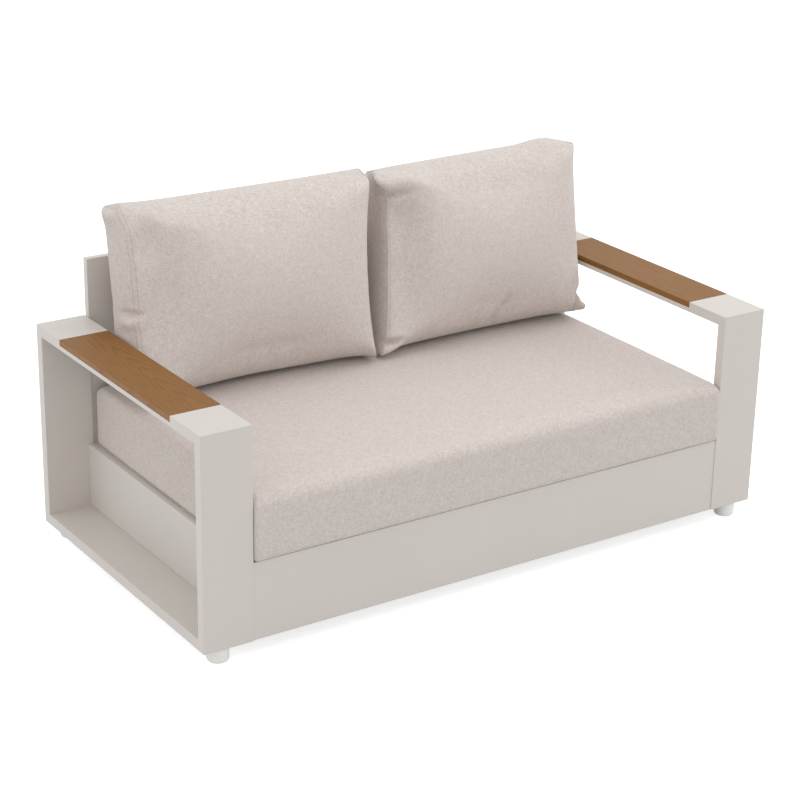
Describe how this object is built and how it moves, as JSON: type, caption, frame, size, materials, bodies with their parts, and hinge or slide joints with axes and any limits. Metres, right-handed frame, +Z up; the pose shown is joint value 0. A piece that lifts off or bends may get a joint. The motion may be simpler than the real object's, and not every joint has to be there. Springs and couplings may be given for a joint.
{
  "type": "patio loveseat",
  "caption": "Patio loveseat: boxy metal arms with open side shelves and wood armrest boards, plain panel back, bench seat cushion, loose back cushions and screw-levelling feet.",
  "frame": {"origin": "on the floor at the middle of the footprint, the footprint being the arms and the part of the seat cushion that stands proud of them", "axes": "+X to the right as seen from the front, along the seat; +Y from the front to the back; +Z up"},
  "size_m": [1.5, 0.778, 0.8206],
  "materials": {
    "frame_coating": "warm light grey powder coat on aluminium",
    "arm_wood": "oiled teak-coloured hardwood",
    "foot_plastic": "white moulded plastic",
    "steel_fasteners": "zinc-plated steel",
    "steel_inserts": "zinc-plated steel",
    "cushion_fabric": "heathered linen-look woven olefin",
    "cushion_filling": "open foam and polyester fibre"
  },
  "bodies": {
    "frame": {"back_bottom_rail": "frame_coating", "back_post_1": "frame_coating", "back_post_2": "frame_coating", "back_seat_rail": "frame_coating", "back_sheet": "frame_coating", "back_to_arm_bolts": "steel_fasteners", "back_to_seat_bolts": "steel_fasteners", "back_top_rail": "frame_coating", "board_screws": "steel_fasteners", "foot_weld_nuts": "steel_inserts", "front_apron": "frame_coating", "left_arm_front_post": "frame_coating", "left_arm_rear_post": "frame_coating", "left_arm_shelf": "frame_coating", "left_arm_top_rail": "frame_coating", "left_armrest_board": "arm_wood", "left_back_stile": "frame_coating", "left_seat_rail": "frame_coating", "left_side_wall": "frame_coating", "rear_post_rivet_nuts": "steel_inserts", "right_arm_front_post": "frame_coating", "right_arm_rear_post": "frame_coating", "right_arm_shelf": "frame_coating", "right_arm_top_rail": "frame_coating", "right_armrest_board": "arm_wood", "right_back_stile": "frame_coating", "right_seat_rail": "frame_coating", "right_side_wall": "frame_coating", "seat_beam_1": "frame_coating", "seat_beam_2": "frame_coating", "seat_front_rail": "frame_coating", "seat_rail_rivet_nuts": "steel_inserts", "seat_rear_rail": "frame_coating", "seat_slat_1": "frame_coating", "seat_slat_2": "frame_coating", "seat_slat_3": "frame_coating", "seat_slat_4": "frame_coating", "seat_slat_5": "frame_coating", "seat_slat_6": "frame_coating", "seat_slat_7": "frame_coating", "seat_slat_8": "frame_coating", "seat_to_arm_bolts": "steel_fasteners", "side_wall_rivet_nuts": "steel_inserts"},
    "seat_cushion": {"seat_cushion_cover": "cushion_fabric", "seat_cushion_core": "cushion_filling"},
    "left_back_cushion": {"left_back_cushion_cover": "cushion_fabric", "left_back_cushion_core": "cushion_filling"},
    "right_back_cushion": {"right_back_cushion_cover": "cushion_fabric", "right_back_cushion_core": "cushion_filling"},
    "front_left_foot_leveller": {"front_left_foot": "foot_plastic", "front_left_foot_stud": "steel_fasteners"},
    "front_right_foot_leveller": {"front_right_foot": "foot_plastic", "front_right_foot_stud": "steel_fasteners"},
    "rear_left_foot_leveller": {"rear_left_foot": "foot_plastic", "rear_left_foot_stud": "steel_fasteners"},
    "rear_right_foot_leveller": {"rear_right_foot": "foot_plastic", "rear_right_foot_stud": "steel_fasteners"}
  },
  "joints": [
    {"name": "front_left_foot_height", "type": "slide", "parent": "frame", "child": "front_left_foot_leveller", "axis": [0, 0, -1], "range_m": [0, 0.01]},
    {"name": "front_right_foot_height", "type": "slide", "parent": "frame", "child": "front_right_foot_leveller", "axis": [0, 0, -1], "range_m": [0, 0.01]},
    {"name": "rear_left_foot_height", "type": "slide", "parent": "frame", "child": "rear_left_foot_leveller", "axis": [0, 0, -1], "range_m": [0, 0.01]},
    {"name": "rear_right_foot_height", "type": "slide", "parent": "frame", "child": "rear_right_foot_leveller", "axis": [0, 0, -1], "range_m": [0, 0.01]},
    {"name": "seat_cushion_lift", "type": "slide", "parent": "frame", "child": "seat_cushion", "axis": [0, 0, 1], "range_m": [0, 0.5]},
    {"name": "left_back_cushion_lift", "type": "slide", "parent": "seat_cushion", "child": "left_back_cushion", "axis": [0, 0, 1], "range_m": [0, 0.4]},
    {"name": "right_back_cushion_lift", "type": "slide", "parent": "seat_cushion", "child": "right_back_cushion", "axis": [0, 0, 1], "range_m": [0, 0.4]}
  ]
}
